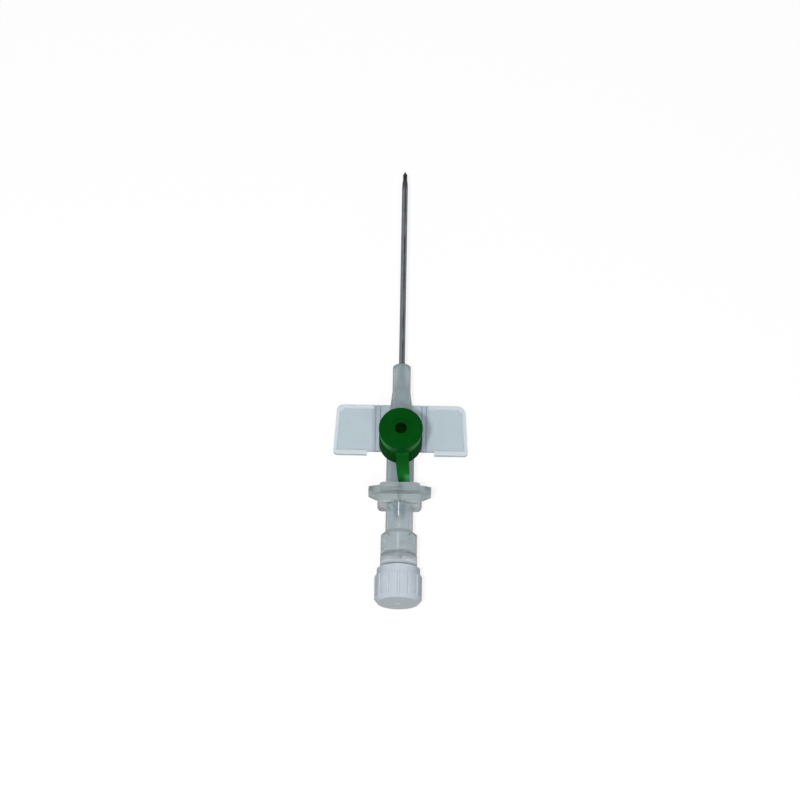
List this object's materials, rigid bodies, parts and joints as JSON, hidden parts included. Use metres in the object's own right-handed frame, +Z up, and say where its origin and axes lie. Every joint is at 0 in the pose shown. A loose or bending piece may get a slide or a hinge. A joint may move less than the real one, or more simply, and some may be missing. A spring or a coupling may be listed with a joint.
{
  "type": "iv cannula",
  "caption": "Winged intravenous cannula with a top injection port, hinged strap cap, bevelled needle, grip plate, flashback chamber and ribbed locking plug.",
  "frame": {"origin": "on the underside of the wings' foot, straight below the axis of the injection port", "axes": "+Y along the bore towards the needle's tip, +X to the right, +Z up along the injection port"},
  "size_m": [0.029, 0.1019, 0.0173],
  "materials": {
    "catheter": "translucent, satin",
    "steel": "polished",
    "clear_moulding": "clear, slightly frosted",
    "silicone": "matte",
    "green_cap": "smooth gloss",
    "filter": "porous matte",
    "white_plug": "satin"
  },
  "bodies": {
    "cannula": {"cannula_hub": "clear_moulding", "catheter_tube": "catheter", "catheter_bush": "steel", "injection_valve": "silicone"},
    "cap_ring": {"port_cap_ring": "green_cap"},
    "cap": {"port_cap": "green_cap"},
    "needle_set": {"needle": "steel", "needle_hub": "clear_moulding", "vent_plug": "clear_moulding", "vent_filter": "filter"},
    "plug": {"luer_plug": "white_plug"}
  },
  "joints": [
    {"name": "needle_withdraw", "type": "slide", "parent": "cannula", "child": "needle_set", "axis": [0, -1, 0], "range_m": [0, 0.085]},
    {"name": "plug_release", "type": "slide", "parent": "needle_set", "child": "plug", "axis": [0, -1, 0], "range_m": [0, 0.012]},
    {"name": "cap_swivel", "type": "hinge", "parent": "cannula", "child": "cap_ring", "pos_m": [0, 0, 0.0031], "axis": [0, 0, 1], "continuous": true},
    {"name": "cap_open", "type": "hinge", "parent": "cap_ring", "child": "cap", "pos_m": [0.00068, -0.00777, 0.012], "axis": [0.9962, 0.0872, 0], "range_deg": [0, 130]}
  ]
}
